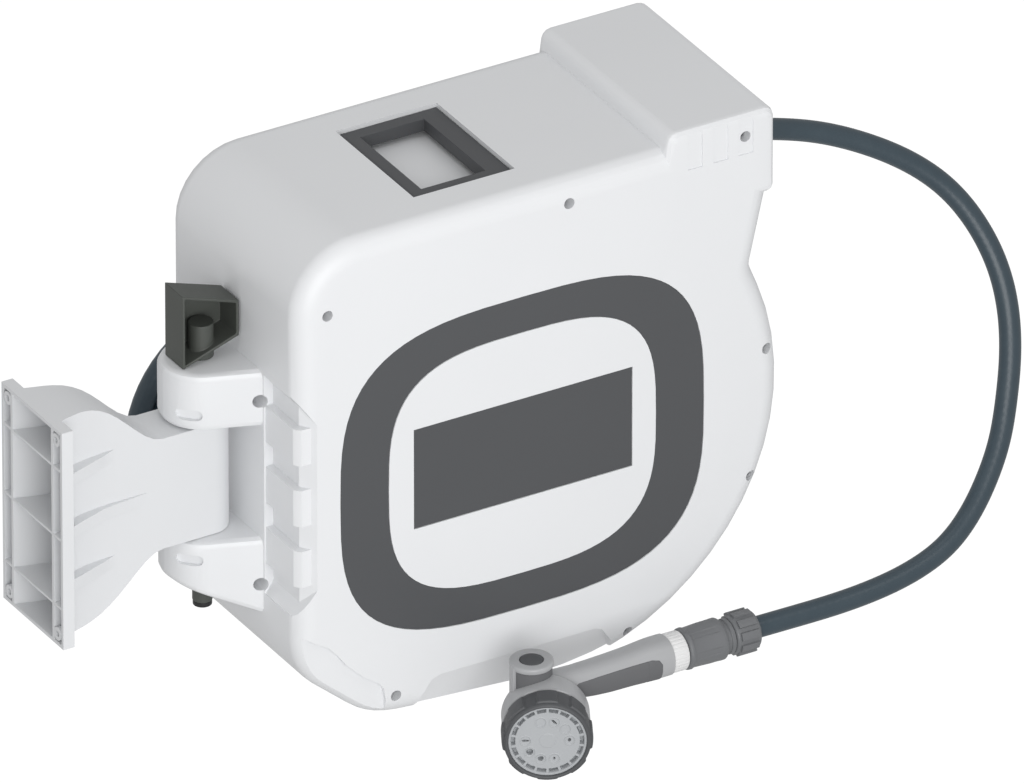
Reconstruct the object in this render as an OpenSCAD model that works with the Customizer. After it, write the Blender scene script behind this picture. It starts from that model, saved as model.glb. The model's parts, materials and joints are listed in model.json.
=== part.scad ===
// Wall-mounted retractable garden hose reel, in millimetres.
// The origin is the middle of the wall plate's back face. +X leads away from the wall,
// +Y to the back of the casing and +Z up. The casing hangs on a swivel pin beside the wall plate.

/* [Wall bracket] */
// Width of the wall plate, across Y
plate_w = 94; // [88:1:104]
// Height of the wall plate
plate_h = 192; // [180:1:204]
// Depth of the wall plate's rim
plate_t = 10; // [8:0.5:12]
// Distance between the wall screws, across Y
screw_gap_y = 75; // [70:1:78]
// Distance between the wall screws, up Z
screw_gap_z = 172; // [160:1:174]
// Diameter of the wall screw holes
wall_hole_d = 5.5; // [4.5:0.5:6.5]
// Half width of the arm where it leaves the plate
arm_root_half = 33; // [30:0.5:34]
// Wall thickness of the bracket
bracket_wall = 3; // [2.5:0.5:4]

/* [Swivel] */
// Distance from the wall to the swivel pin
pin_x = 150; // [145:1:156]
// Diameter of the swivel pin
pin_d = 16; // [12:0.5:18]
// Radius of the arm's barrel round the pin
barrel_r = 21; // [17:0.5:22]
// Height of the arm's barrel
barrel_h = 97.6; // [90:0.2:100]
// Radius of the casing's lugs round the pin
lug_r = 34; // [30:0.5:36]
// Height of each lug
lug_h = 50; // [42:1:54]

/* [Casing] */
// Radius of the round part of the casing
casing_r = 215.5; // [208:0.5:222]
// Half depth of the casing
casing_half = 100; // [94:1:106]
// Distance from the wall to the casing's near side
casing_x = 178; // [176:1:184]
// Distance from the wall to the drum's axis
hub_x = 396; // [390:1:400]
// Height of the casing's top above the origin
casing_top = 224; // [218:1:232]
// Height of the outlet box's top above the origin
outlet_top = 239; // [234:1:248]
// Distance from the wall to the outlet's end
outlet_x = 605; // [600:1:612]
// Wall thickness of the casing
wall = 3.5; // [3:0.25:4.5]
// Depth of the rounding along the front and back edges
edge_round = 17; // [12:1:20]

/* [Front cover] */
// Half width of the dark ring, outside
ring_half_x = 162.5; // [150:0.5:168]
// Half height of the dark ring, outside
ring_half_z = 138.5; // [128:0.5:142]
// Width of the dark ring at its sides
ring_side = 43; // [36:0.5:48]
// Width of the dark ring at its top and bottom
ring_end = 31.5; // [26:0.5:36]
// Width of the dark panel
panel_w = 195.5; // [180:0.5:204]
// Height of the dark panel
panel_h = 88.5; // [80:0.5:96]

/* [Carrying handle] */
// Length of the handle's pocket, along X
pocket_l = 90; // [84:1:96]
// Width of the handle's pocket, along Y
pocket_w = 120; // [112:1:124]
// Depth of the handle's pocket
pocket_d = 19; // [17:0.5:20]
// Thickness of the handle
handle_t = 11; // [9:0.5:12]

/* [Drum and hose] */
// Outside diameter of the hose
hose_d = 17.5; // [15.5:0.5:17.5]
// Radius of the drum's flanges
flange_r = 190; // [184:1:192]
// Radius of the drum's core
core_r = 95; // [88:1:100]
// Radius of the hose wound on the drum
pack_r = 156; // [150:1:160]
// Half width between the drum's flanges
drum_half = 75; // [70:1:77]
// Diameter of the water axle
axle_d = 24; // [20:0.5:26]
// Number of teeth on the ratchet wheel
teeth = 12; // [12:12:24]

/* [Outlet guide] */
// Side of the square outlet frame
frame_side = 62; // [58:1:64]
// Diameter of the guide rollers
roller_d = 12; // [9:0.5:12]

/* [Spray gun] */
// Diameter of the dial
dial_d = 70; // [64:1:74]
// Diameter of the upright valve body
valve_d = 35; // [32:0.5:38]
// Diameter of the hose coupling
coupling_d = 34; // [30:0.5:36]

/* [Hidden] */
$fn = 48;

fit = 0.1;            // radial clearance of a running fit
gap = 0.4;            // clearance between pieces that pass each other
body_grey = "gainsboro";
dark_grey = "dimgray";
hub_z = -2;           // height of the drum's axis

// Swivel
lug_in = barrel_h / 2 + 0.6;      // height of the lugs' inner faces
lug_flank = 20;                   // angle of the lugs' flanks
lug_edge = 6;                     // rounding of the lugs
lug_root_x = casing_x + 12;       // the lugs run this far into the casing
lug_drop = 0.48;                  // slope of the lower lug's underside
pin_reach = lug_in + lug_h;       // the pin's shaft runs from the lower to the upper lug
neck_x = pin_x - 46;              // the arm is as low as its barrel from here on
arm_inner_x = pin_x - barrel_r - 4;
rib_gap = 61;                     // pitch of the plate's level ribs
flange_t = 2.5;                   // skin of the plate beside the arm

// Casing outline
waist_angle = 22;                 // the round part starts here
waist_run = 23;                   // straight stretch above it
round_arcs = 3;                   // the round part is this many arcs, to just past its lowest point
foot_rise = 5;                    // slope of the line from there to the lower left corner
round_step = (waist_angle + 90 + foot_rise) / round_arcs;
step_x = outlet_x - 105;          // foot of the step up to the outlet box
step_run = 10;                    // how far the step leans
face_y = casing_half;             // front face, and back face on the other side
side_y = casing_half - 16;        // the edges start to round here
edge_steps = 5;
box_edge = 7;                     // rounding of the outlet box's front edge

// Screws that hold the casing together, seen from the front
screw_xz = [[casing_x + 27, casing_top - 57], [hub_x + 24, casing_top - 19],
            [outlet_x - 27, outlet_top - 20],
            [hub_x + casing_r - 13.5, hub_z + 27], [hub_x + casing_r - 27.5, hub_z - 83],
            [hub_x - 131, hub_z - casing_r + 29.5], [hub_x + 78, hub_z - casing_r + 24.5]];
screw_hole_r = 4.6;
screw_sink = 12;                  // depth of the screw holes in the front
screw_boss_r = 7.5;
lug_screw_x = pin_x + 26;

// Front cover
ring_x = 378.5;
ring_z = -4;
ring_power = 3.2;                 // squareness of the ring
inlay_t = 1.5;
panel_x = 379;
lip = 0.5;                        // the inlays lie this far below the front

// Front panel's feet, the arch between them and the step beside them
foot_x = [hub_x - 113, hub_x + 66];
arch_z = -180;
step_d = 4;

// Side grip between the lugs
grip_x = casing_x + 8;
grip_half = 97;
grip_y = -48;
bar_h = 32;
bar_gap = 54;

// Carrying handle
pocket_x = 304.6;
pocket_floor = casing_top - pocket_d;
handle_sink = 3.5;                // the handle lies this far below the casing's top
handle_pin_d = 6;
handle_end = handle_t / 2;        // the hinge end is round
handle_pin_x = pocket_x + gap + handle_end;
handle_pin_z = casing_top - handle_sink - handle_end;
ledge_l = 10;                     // the handle rests on two ledges at its free end

// Outlet
outlet_z = hub_z + pack_r + hose_d / 2 + gap;
frame_x0 = outlet_x - 21;
frame_x1 = outlet_x + 7;
roller_off = hose_d / 2 + 1 + roller_d / 2;
frame_hole = 2 * (roller_off + roller_d / 2 + 0.6);
collar = 3.5;                     // the frame's collar, held in a groove of the casing
seat = 0.05;                      // clearance of pieces that are held tight
roller_half = frame_hole / 2 - gap;
roller_pin_d = 5;
roller_pin_l = 5;

// Drum
flange_t2 = 3;
hub_r = axle_d / 2 + 8;
bush_l = 14;
spring_turns = 7;
spring_t = 1.6;
spring_w = 56;
ratchet_r = 62;
ratchet_t = 5;
tooth_h = 6;
ratchet_y = -(drum_half + flange_t2);
pawl_x = hub_x + ratchet_r + 4;
pawl_z = hub_z - 38;
pawl_pin_r = 4;

// Lead hose on the back, from the inlet to its coil
elbow_y = casing_half + 10.5;
elbow_reach = 30;
elbow_angle = 45;
coil_x = 250.5;
coil_z = -40;
coil_in = 64;                     // smallest radius of the coil's centreline
coil_pitch = 18.5;
coil_top = coil_z + coil_in + 2 * coil_pitch;
lead_bend = 70;
coil_rings = 24;
coil_sides = 6;
lead_in = 12;
tail = 22;

// Free hose from the outlet to the spray gun
free_points = [[outlet_x, 0, outlet_z], [outlet_x + 14, 0, outlet_z - 0.3], [637, 0, 160.5],
               [658, -1, 155.6], [699, -4, 142.6], [740, -12, 124], [774, -22, 102.6],
               [800.5, -34, 77.5], [819, -50, 46], [828, -66, 13], [828.5, -80, -19],
               [822.5, -93, -48], [811.5, -106, -79], [798, -118, -106.5], [781, -128, -130],
               [760, -137, -151.5], [735.5, -144, -168], [705, -148, -179], [670, -150, -185],
               [633, -150, -188], [595, -150, -188.3], [556, -150, -188]];
hose_sides = 10;

// Spray gun
gun_y = -150;
gun_z = -188;
nut_x = 556;
coupling_x = 491.3;
ring_x0 = 477;
valve_x = 357;
valve_top = -157;
head_x = valve_x + 12;
head_z = -203;
head_turn = 242;                  // the head looks this way, in the level plane
spindle_d = 16;
face_d = dial_d - 9.4;
spigot_d = 20;

// Small helpers

function unit(v) = v / norm(v);
function turned(v, a) = [v[0] * cos(a) - v[1] * sin(a), v[0] * sin(a) + v[1] * cos(a)];
function right_of(u) = [u[1], -u[0]];
function cross_z(u, v) = u[0] * v[1] - u[1] * v[0];

// A cylinder along Y, from y0 to y1
module along_y(x, z, y0, y1, r) {
    translate([x, y1, z]) rotate([90, 0, 0]) cylinder(h = y1 - y0, r = r);
}

// A cylinder along X, from x0 to x1
module along_x(x0, x1, y, z, r) {
    translate([x0, y, z]) rotate([0, 90, 0]) cylinder(h = x1 - x0, r = r);
}

// A flat shape drawn in X and Z, from y0 to y1
module upright(y0, y1) {
    translate([0, y1, 0]) rotate([90, 0, 0]) linear_extrude(y1 - y0) children();
}

// A closed solid through rings of equally many points, each counterclockwise as seen from the last
module loft(rings) {
    n = len(rings[0]);
    m = len(rings);
    sides = [for (i = [0 : m - 2]) for (j = [0 : n - 1])
        let (a = i * n + j, b = i * n + (j + 1) % n)
        each [[a, a + n, b + n], [a, b + n, b]]];
    ends = [[for (j = [0 : n - 1]) j], [for (j = [n - 1 : -1 : 0]) (m - 1) * n + j]];
    polyhedron(points = [for (r = rings) each r], faces = concat(sides, ends), convexity = 8);
}

// Rings of a round tube along a list of points; no stretch runs along Y
function tangent(p, i) = unit(p[min(i + 1, len(p) - 1)] - p[max(i - 1, 0)]);
function tube_ring(c, t, r, n) =
    let (a = unit(cross(t, [0, 1, 0])), b = cross(t, a))
    [for (k = [0 : n - 1]) c + r * (a * cos(360 * k / n) + b * sin(360 * k / n))];
function tube_rings(p, r, n) = [for (i = [0 : len(p) - 1]) tube_ring(p[i], tangent(p, i), r, n)];
module tube(p, r, n) {
    loft(tube_rings(p, r, n));
}

// Least distance between stretches of a path that are more than one loop's points apart
function least_gap(p, skip) = min([for (i = [0 : len(p) - 1])
    for (j = [i + skip : 1 : len(p) - 1]) norm(p[i] - p[j])]);

// Casing outline

// A corner is [x, z, radius, steps, keep]: keep is 0 where the next corner's arc starts at once
hub = [hub_x, hub_z];
function on_round(a, r) = hub + r * [cos(a), sin(a)];
function foot_line(x) = hub_z - (casing_r + (x - hub_x) * sin(foot_rise)) / cos(foot_rise);
waist = on_round(waist_angle, casing_r) + waist_run * [-sin(waist_angle), cos(waist_angle)];
corners = concat(
    [[casing_x, casing_top, 58, 8, 1],
     [outlet_x, casing_top, 36, 6, 1],
     [outlet_x, 178, 60, 2, 1],
     [waist[0], waist[1], 14, 3, 1]],
    [for (i = [0 : round_arcs - 1])
        let (p = on_round(waist_angle - (i + 0.5) * round_step, casing_r / cos(round_step / 2)))
        [p[0], p[1], casing_r, 6, i == round_arcs - 1 ? 1 : 0]],
    [[casing_x + 68, foot_line(casing_x + 68), 70, 5, 1],
     [casing_x, -147, 60, 5, 1]]);

// The outlet box's corners
box_corners = [[step_x, outlet_z, 6, 2, 1], [step_x + step_run, outlet_top, 9, 3, 1],
               [outlet_x, outlet_top, 9, 3, 1], [outlet_x, outlet_z, 6, 2, 1]];

function spot(c, i) = [c[i][0], c[i][1]];
function inset_spot(c, i, d) =
    let (n = len(c), p = spot(c, i),
         a = right_of(unit(p - spot(c, (i + n - 1) % n))),
         b = right_of(unit(spot(c, (i + 1) % n) - p)))
    p + d * (a + b) / (1 + a * b);
function corner_arc(p, q, s, r, steps, keep) =
    let (u = unit(q - p), v = unit(s - q),
         turn = acos(min(1, u * v)), side = cross_z(u, v) < 0 ? 1 : -1,
         start = q - u * r * tan(turn / 2), c = start + side * r * right_of(u))
    [for (k = [0 : steps - 1 + keep]) c + turned(start - c, -side * turn * k / steps)];
function corner_radius(c, i, d) =
    let (n = len(c), p = spot(c, i),
         convex = cross_z(p - spot(c, (i + n - 1) % n), spot(c, (i + 1) % n) - p) < 0)
    convex ? max(c[i][2] - d, 0.8) : c[i][2] + d;
// The outline through the corners c, drawn in by d, as points in X and Z
function outline(c, d) = [for (i = [0 : len(c) - 1])
    let (n = len(c))
    each corner_arc(inset_spot(c, (i + n - 1) % n, d), inset_spot(c, i, d),
                    inset_spot(c, (i + 1) % n, d), corner_radius(c, i, d), c[i][3], c[i][4])];
function outline_ring(c, d, y) = [for (p = outline(c, d)) [p[0], y, p[1]]];

// A block from the seam to the front whose front edge is rounded, w wide and d deep
module rounded_block(c, w, d, steps) {
    loft(concat([outline_ring(c, w, -face_y - 4)],
                [for (k = [steps : -1 : 1]) let (a = 90 * k / steps)
                    outline_ring(c, w * (1 - cos(a)), d - face_y - (d + 0.03) * sin(a))],
                [outline_ring(c, 0, d - face_y), outline_ring(c, 0, 4)]));
}

// Front half of the casing's outside, as one solid block, planed flat at the front and the seam
module casing_block() {
    difference() {
        union() {
            rounded_block(corners, edge_round, face_y - side_y, edge_steps);
            rounded_block(box_corners, box_edge, box_edge, 3);
        }
        translate([0, -face_y - 10, -500]) cube([1000, 10, 1000]);
        translate([0, 0, -500]) cube([1000, 10, 1000]);
    }
}

// The hollow of the front half, in steps of [inset, depth] that follow the rounded edge
module casing_hollow() {
    for (s = [[wall, side_y + 2], [wall + 3, side_y + 8.5], [wall + 7, face_y - wall]])
        upright(-s[1], 1) polygon(outline(corners, s[0]));
    translate([step_x + step_run + wall, -face_y + wall + 2, outlet_z + 20])
        cube([outlet_x - step_x - step_run - 2 * wall, face_y - wall, outlet_top - wall - outlet_z - 20]);
}

// Half a lug, from y = 0 to the front, with rounded edges
function lug_half(inset, z, drop) =
    let (r = lug_r - inset,
         reach = r * cos(lug_flank) + (lug_root_x - pin_x + r * sin(lug_flank)) * tan(lug_flank),
         pts = concat([[lug_root_x, 0], [lug_root_x, -reach]],
                      [for (k = [0 : 8]) let (a = -90 - lug_flank - (90 - lug_flank) * k / 8)
                          [pin_x + r * cos(a), r * sin(a)]]))
    [for (p = pts) [p[0], p[1], z - drop * max(0, p[0] - pin_x + lug_r)]];
module half_lug(z0, z1, drop = 0) {
    levels = [[lug_edge, z1, 0], [lug_edge / 3, z1 - lug_edge / 3, 0], [0, z1 - lug_edge, 0],
              [0, z0 + lug_edge, drop], [lug_edge / 3, z0 + lug_edge / 3, drop],
              [lug_edge, z0, drop]];
    loft([for (l = levels) lug_half(l[0], l[1], l[2])]);
}

// The recess beside the lugs, drawn in X and Y, deeper by d
module grip_plan(d) {
    polygon([[casing_x - 8, grip_y], [grip_x - 8 + d, grip_y], [grip_x - 8 + d, -face_y + 12],
             [grip_x + 2 + d, -face_y - 1], [casing_x - 8, -face_y - 1]]);
}

module grip_recess() {
    difference() {
        intersection() {
            translate([0, 0, -grip_half]) linear_extrude(2 * grip_half) grip_plan(8);
            upright(-face_y - 2, 0)
                polygon([[casing_x - 10, grip_half], [casing_x + 1, grip_half],
                         [grip_x + 11, grip_half - 26], [grip_x + 11, 26 - grip_half],
                         [casing_x + 1, -grip_half], [casing_x - 10, -grip_half]]);
        }
        for (i = [-1 : 1])
            translate([casing_x + 1.5, -face_y + 4, i * bar_gap - bar_h / 2])
                cube([30, face_y - 4, bar_h]);
    }
}

// A square block round the outlet's line, l long and 2 h high and wide
module frame_block(l, h) {
    translate([0, -h, outlet_z - h]) cube([l, 2 * h, 2 * h]);
}

// What stands inside the front half: screw bosses, the handle's pocket and thicker walls
module inner_walls() {
    for (p = screw_xz) along_y(p[0], p[1], -face_y + 1, 0, screw_boss_r);
    translate([pocket_x - wall, -pocket_w / 2 - 7, pocket_floor - wall])
        cube([pocket_l + 2 * wall, pocket_w / 2 + 7, pocket_d]);
    translate([casing_x + 1, -face_y + 2, -grip_half - wall])
        cube([8 + wall, face_y - 2, 2 * grip_half + 2 * wall]);
    translate([casing_x + 1, -face_y + 2, -grip_half - wall])
        cube([grip_x + 10 + wall - casing_x, 12 + wall, 2 * grip_half + 2 * wall]);
    arch_side(wall + 0.5);
    upright(-face_y + 1, -face_y + step_d + wall) offset(delta = wall) step_plan();
    translate([frame_x0 - 6, -frame_side / 2 - collar - wall, outlet_z - frame_side / 2 - collar - wall])
        cube([outlet_x - frame_x0 + 2, frame_side / 2 + collar + wall,
              frame_side + 2 * collar + 2 * wall]);
}

// What is cut from the front half: pin bore, pocket, outlet, flutes and screw holes
module casing_cuts() {
    translate([pin_x, 0, -pin_reach - 60]) cylinder(h = 2 * pin_reach + 120, r = pin_d / 2 + fit);
    difference() {
        translate([pocket_x, -pocket_w / 2, pocket_floor]) cube([pocket_l, pocket_w, 60]);
        translate([pocket_x + pocket_l - ledge_l, -pocket_w / 2 - 1, pocket_floor - 1])
            cube([ledge_l + 1, 13, casing_top - handle_sink - handle_t - gap - pocket_floor + 1]);
    }
    along_y(handle_pin_x, handle_pin_z, -pocket_w / 2 - 5.5, 0, handle_pin_d / 2 + fit);
    translate([frame_x0 - 7, 0, 0]) frame_block(60, frame_side / 2 + seat);
    translate([frame_x0 + 5 - seat, 0, 0]) frame_block(5 + 2 * seat, frame_side / 2 + collar + seat);
    for (x = [outlet_x - 79, outlet_x - 56, outlet_x - 33.5])
        translate([x, -face_y - 1, hub_z + 206]) cube([13, 2, 60]);
    grip_recess();
}

// Obround slot in a lug's rim, turned away from the wall
module lug_slot(z) {
    translate([pin_x, 0, z]) rotate([0, 0, -137]) {
        translate([lug_r - 4, -6.5, -4.5]) cube([10, 13, 9]);
        for (s = [-1, 1]) translate([lug_r - 4, s * 6.5, 0]) rotate([0, 90, 0])
            cylinder(h = 10, r = 4.5);
    }
}

// The slanted recess under the arch, grown by d
module arch_side(d) {
    translate([foot_x[0] - d, 0, 0]) rotate([90, 0, 90]) linear_extrude(foot_x[1] - foot_x[0] + 2 * d)
        polygon([[-face_y - 1, arch_z + d], [-face_y + 3 + d, arch_z - 1 + d],
                 [-face_y + 20 + d, hub_z - casing_r - 3], [-face_y - 1, hub_z - casing_r - 3]]);
}

// The step at the lower left corner, drawn in X and Z
module step_plan() {
    translate([casing_x, 0])
        polygon([[-78, -113], [3, -113], [14, -120], [27, -128], [35, -137], [43, -148], [58, -163],
                 [71, -172], [76, -178], [78, -190], [77, -260], [-78, -260]]);
}

// Below the front panel: the arch between its feet, and the step at its lower left corner
module panel_cuts() {
    intersection() {
        arch_side(0);
        upright(-face_y - 1, 0) polygon([[foot_x[0], -240], [foot_x[0], -207], [foot_x[0] + 5, -195],
            [foot_x[0] + 14, arch_z - 3], [foot_x[0] + 26, arch_z + 1], [foot_x[1] - 22, arch_z + 1],
            [foot_x[1] - 12, arch_z - 3], [foot_x[1] - 4, -195], [foot_x[1], -207], [foot_x[1], -240]]);
    }
    upright(-face_y - 1, -face_y + step_d) step_plan();
}

// One half of the casing with its lugs, before what only the front or the back has
module shell_half() {
    difference() {
        union() {
            difference() {
                casing_block();
                difference() {
                    casing_hollow();
                    inner_walls();
                }
            }
            half_lug(lug_in, lug_in + lug_h);
            half_lug(-lug_in - lug_h + 12, -lug_in, lug_drop);
        }
        casing_cuts();
        lug_slot(lug_in + 15);
        lug_slot(-lug_in - 15);
    }
}

// Points of the ring's outline, a squared oval
function oval(hx, hz) = [for (a = [0 : 5 : 355])
    [ring_x + hx * sign(cos(a)) * pow(abs(cos(a)), 2 / ring_power),
     ring_z + hz * sign(sin(a)) * pow(abs(sin(a)), 2 / ring_power)]];
module ring_plan(grow) {
    difference() {
        polygon(oval(ring_half_x + grow, ring_half_z + grow));
        polygon(oval(ring_half_x - ring_side - grow, ring_half_z - ring_end - grow));
    }
}

// Sub-parts of the wall bracket

function arm_half_z(x) =
    let (t = min(1, max(0, (x - 14) / (neck_x - 14))))
    barrel_h / 2 + (plate_h / 2 - barrel_h / 2) * (1 + cos(180 * pow(t, 1.5))) / 2;
function arm_half_y(x) =
    barrel_r + (arm_root_half - barrel_r) * pow(max(0, 1 - x / 62), 2);
arm_xs = [0, 8, 16, 24, 32, 40, 48, 56, 64, 72, 80, 88, 96, 104];

module arm_side(inset, end) {
    xs = concat(arm_xs, [end]);
    polygon(concat([for (x = xs) [x, arm_half_z(x) - inset]],
                   [for (i = [len(xs) - 1 : -1 : 0]) [xs[i], inset - arm_half_z(xs[i])]]));
}
module arm_plan(inset, end) {
    xs = concat([for (x = arm_xs) if (x < 66) x], [end]);
    polygon(concat([for (x = xs) [x, arm_half_y(x) - inset]],
                   [for (i = [len(xs) - 1 : -1 : 0]) [xs[i], inset - arm_half_y(xs[i])]]));
}
module arm_block(inset, end) {
    intersection() {
        upright(-60, 60) arm_side(inset, end);
        translate([0, 0, -plate_h]) linear_extrude(2 * plate_h) arm_plan(inset, end);
    }
}

// The tapered ribs on the arm's front and back
module arm_gussets() {
    for (g = [[0, pin_x - 54], [47, pin_x - 88], [-47, pin_x - 88]])
        translate([0, 0, g[0] - 5]) linear_extrude(10)
            for (s = [-1, 1])
                polygon([[plate_t - 1, s * 18], [plate_t - 1, s * 40], [50, s * 25.5],
                         [g[1], s * (barrel_r - 0.5)], [g[1], s * 18]]);
}

// The level ribs across the open back, and the screw bosses
module plate_ribs() {
    for (i = [-1 : 1]) translate([0, -plate_w / 2 + 1, i * rib_gap - 1])
        cube([plate_t - 1, plate_w - 2, 2]);
    for (y = [-1, 1], z = [-1, 1])
        along_x(0, plate_t - 1, y * screw_gap_y / 2, z * screw_gap_z / 2, wall_hole_d);
}

module wall_bracket() {
    color(body_grey) difference() {
        union() {
            difference() {
                union() {
                    translate([0, -plate_w / 2, -plate_h / 2]) cube([plate_t, plate_w, plate_h]);
                    arm_block(0, pin_x);
                    arm_gussets();
                }
                difference() {
                    arm_block(bracket_wall, arm_inner_x);
                    for (i = [-1 : 1])
                        translate([0, -60, i * rib_gap - 1]) cube([arm_inner_x, 120, 2]);
                }
                for (s = [-1, 1])
                    translate([-1, s > 0 ? arm_root_half : -plate_w / 2 + bracket_wall,
                               -plate_h / 2 + bracket_wall])
                        cube([plate_t - flange_t + 1, plate_w / 2 - bracket_wall - arm_root_half,
                              plate_h - 2 * bracket_wall]);
            }
            plate_ribs();
            translate([pin_x, 0, -barrel_h / 2]) cylinder(h = barrel_h, r = barrel_r);
        }
        translate([pin_x, 0, -barrel_h]) cylinder(h = 2 * barrel_h, r = pin_d / 2 + fit);
        for (y = [-1, 1], z = [-1, 1])
            along_x(-1, plate_t + 1, y * screw_gap_y / 2, z * screw_gap_z / 2, wall_hole_d / 2);
    }
}

// Sub-parts of the casing

module front_shell() {
    color(body_grey) difference() {
        union() {
            shell_half();
            along_y(hub_x, hub_z, -face_y + 1, -face_y + 12, axle_d / 2 + 5);
            along_y(pawl_x, pawl_z, -face_y + 1, ratchet_y - ratchet_t - 1.5, pawl_pin_r + 3);
            along_y(pawl_x, pawl_z, -face_y + 1, ratchet_y - gap, pawl_pin_r);
        }
        along_y(hub_x, hub_z, -face_y + 5, -face_y + 13, axle_d / 2 + fit);
        upright(-face_y - 1, -face_y + inlay_t + lip) ring_plan(0.2);
        translate([panel_x - panel_w / 2, -face_y - 1, -panel_h / 2])
            cube([panel_w, inlay_t + lip + 1, panel_h]);
        for (p = screw_xz) {
            along_y(p[0], p[1], -face_y - 1, -face_y + screw_sink, screw_hole_r);
            along_y(p[0], p[1], -face_y, 1, 2.3);
        }
        panel_cuts();
        for (s = lug_screws_xz) {
            along_y(s[0], s[1], -60, -28, screw_hole_r + 1);
            along_y(s[0], s[1], -60, 1, 2.3);
        }
    }
}

module rear_shell() {
    color(body_grey) difference() {
        union() {
            mirror([0, 1, 0]) shell_half();
            along_y(hub_x, hub_z, face_y - 10, face_y - 1, axle_d / 2 + 6);
            along_y(coil_x, coil_z + coil_in - hose_d / 2 - 12.5, face_y - 1, face_y + 42, 12);
            along_y(coil_x, coil_z + coil_in - hose_d / 2 - 12.5, face_y + 40, face_y + 43, 15);
        }
        along_y(hub_x, hub_z, face_y - 12, face_y + 1, axle_d / 2 + fit);
        for (p = screw_xz) along_y(p[0], p[1], -1, 24, 2.1);
        for (s = lug_screws_xz) along_y(s[0], s[1], -1, 16, 2.1);
    }
}

lug_screws_xz = [[lug_screw_x, lug_in + 24], [lug_screw_x, -lug_in - 40]];

// A pan-head screw along Y, its head's underside at y
module screw(x, z, y, shank) {
    along_y(x, z, y - 3, y, 4);
    along_y(x, z, y - 0.1, y + shank, 2);
}

module casing_screws() {
    color("silver") for (p = screw_xz) difference() {
        screw(p[0], p[1], -face_y + screw_sink, face_y + 8);
        along_y(p[0], p[1], -face_y + screw_sink - 4, -face_y + screw_sink - 1.4, 1.5);
    }
}

module lug_screws() {
    color("silver") for (s = lug_screws_xz) difference() {
        screw(s[0], s[1], -28, 40);
        along_y(s[0], s[1], -32, -29.4, 1.5);
    }
}

module cover_ring() {
    color(dark_grey) upright(-face_y + lip, -face_y + inlay_t + lip) ring_plan(0);
}

module cover_panel() {
    color(dark_grey)
        translate([panel_x - panel_w / 2 + 0.3, -face_y + lip, -panel_h / 2 + 0.3])
            cube([panel_w - 0.6, inlay_t, panel_h - 0.6]);
}

// Swivel pin with its pull: a hollow wedge, open to the front

pull_x0 = pin_x - 24;
pull_x1 = casing_x - 2;
pull_half_y = 14;
pull_z = pin_reach + 32.5;
module pull_plan(inset) {
    polygon([[pull_x0 + inset, pull_z - 32.3 + inset * 1.3], [pull_x0 + inset, pull_z + 32.3 - inset * 1.3],
             [pull_x1 - inset, pull_z + 15.5 - inset * 0.8], [pull_x1 - inset, pull_z - 15.5 + inset * 0.8]]);
}

module pivot_pin() {
    color([0.32, 0.34, 0.32]) {
        difference() {
            upright(-pull_half_y, pull_half_y) pull_plan(0);
            upright(-pull_half_y - 1, pull_half_y - 2.5) pull_plan(2.5);
        }
        translate([pin_x, 0, -pin_reach - 18]) cylinder(h = 2 * pin_reach + 18 + 30, r = pin_d / 2);
        translate([pin_x, 0, pin_reach + 0.3]) cylinder(h = 30, r = 10);
    }
}

module pin_end_cap() {
    color("black") difference() {
        translate([pin_x, 0, -pin_reach - 22]) cylinder(h = 8, r = pin_d / 2 - 0.4);
        translate([pin_x, 0, -pin_reach - 18]) cylinder(h = 8, r = pin_d / 2 + 2);
    }
}

// The folding handle: a ring that lies in its pocket and swings up on two pins

handle_l = pocket_l - handle_end - 2 * gap;
handle_y = pocket_w / 2 - gap;
module carry_handle() {
    color(dark_grey) {
        difference() {
            union() {
                translate([handle_pin_x, -handle_y, handle_pin_z - handle_end])
                    cube([handle_l, 2 * handle_y, handle_t]);
                along_y(handle_pin_x, handle_pin_z, -handle_y, handle_y, handle_end);
            }
            translate([pocket_x + 15, -pocket_w / 2 + 14, 0])
                cube([pocket_l - 33, pocket_w - 26, 2 * casing_top]);
        }
        along_y(handle_pin_x, handle_pin_z, -pocket_w / 2 - 5, pocket_w / 2 + 5, handle_pin_d / 2);
    }
}

// The outlet frame and its four guide rollers

module outlet_frame() {
    color(dark_grey) difference() {
        union() {
            translate([frame_x0, 0, 0]) frame_block(frame_x1 - frame_x0, frame_side / 2);
            translate([frame_x0 + 5, 0, 0]) frame_block(5, frame_side / 2 + collar);
        }
        translate([frame_x0 - 1, 0, 0]) frame_block(frame_x1 - frame_x0 + 2, frame_hole / 2);
        for (s = [-1, 1]) {
            along_y(roller_x_level, outlet_z + s * roller_off, -frame_hole / 2 - roller_pin_l - gap,
                    frame_hole / 2 + roller_pin_l + gap, roller_pin_d / 2 + fit);
            translate([roller_x_up, s * roller_off, outlet_z - frame_hole / 2 - roller_pin_l - gap])
                cylinder(h = frame_hole + 2 * roller_pin_l + 2 * gap, r = roller_pin_d / 2 + fit);
        }
    }
}
roller_x_up = frame_x0 + roller_d / 2 + 1;
roller_x_level = frame_x1 - roller_d / 2 - 1;

module roller_level(s) {
    color("silver") {
        along_y(roller_x_level, outlet_z + s * roller_off, -roller_half, roller_half, roller_d / 2);
        along_y(roller_x_level, outlet_z + s * roller_off, -roller_half - roller_pin_l,
                roller_half + roller_pin_l, roller_pin_d / 2);
    }
}
module roller_up(s) {
    color("silver") translate([roller_x_up, s * roller_off, outlet_z]) {
        translate([0, 0, -roller_half]) cylinder(h = 2 * roller_half, r = roller_d / 2);
        translate([0, 0, -roller_half - roller_pin_l])
            cylinder(h = 2 * roller_half + 2 * roller_pin_l, r = roller_pin_d / 2);
    }
}
module guide_roller_top() { roller_level(1); }
module guide_roller_bottom() { roller_level(-1); }
module guide_roller_front() { roller_up(-1); }
module guide_roller_back() { roller_up(1); }

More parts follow.
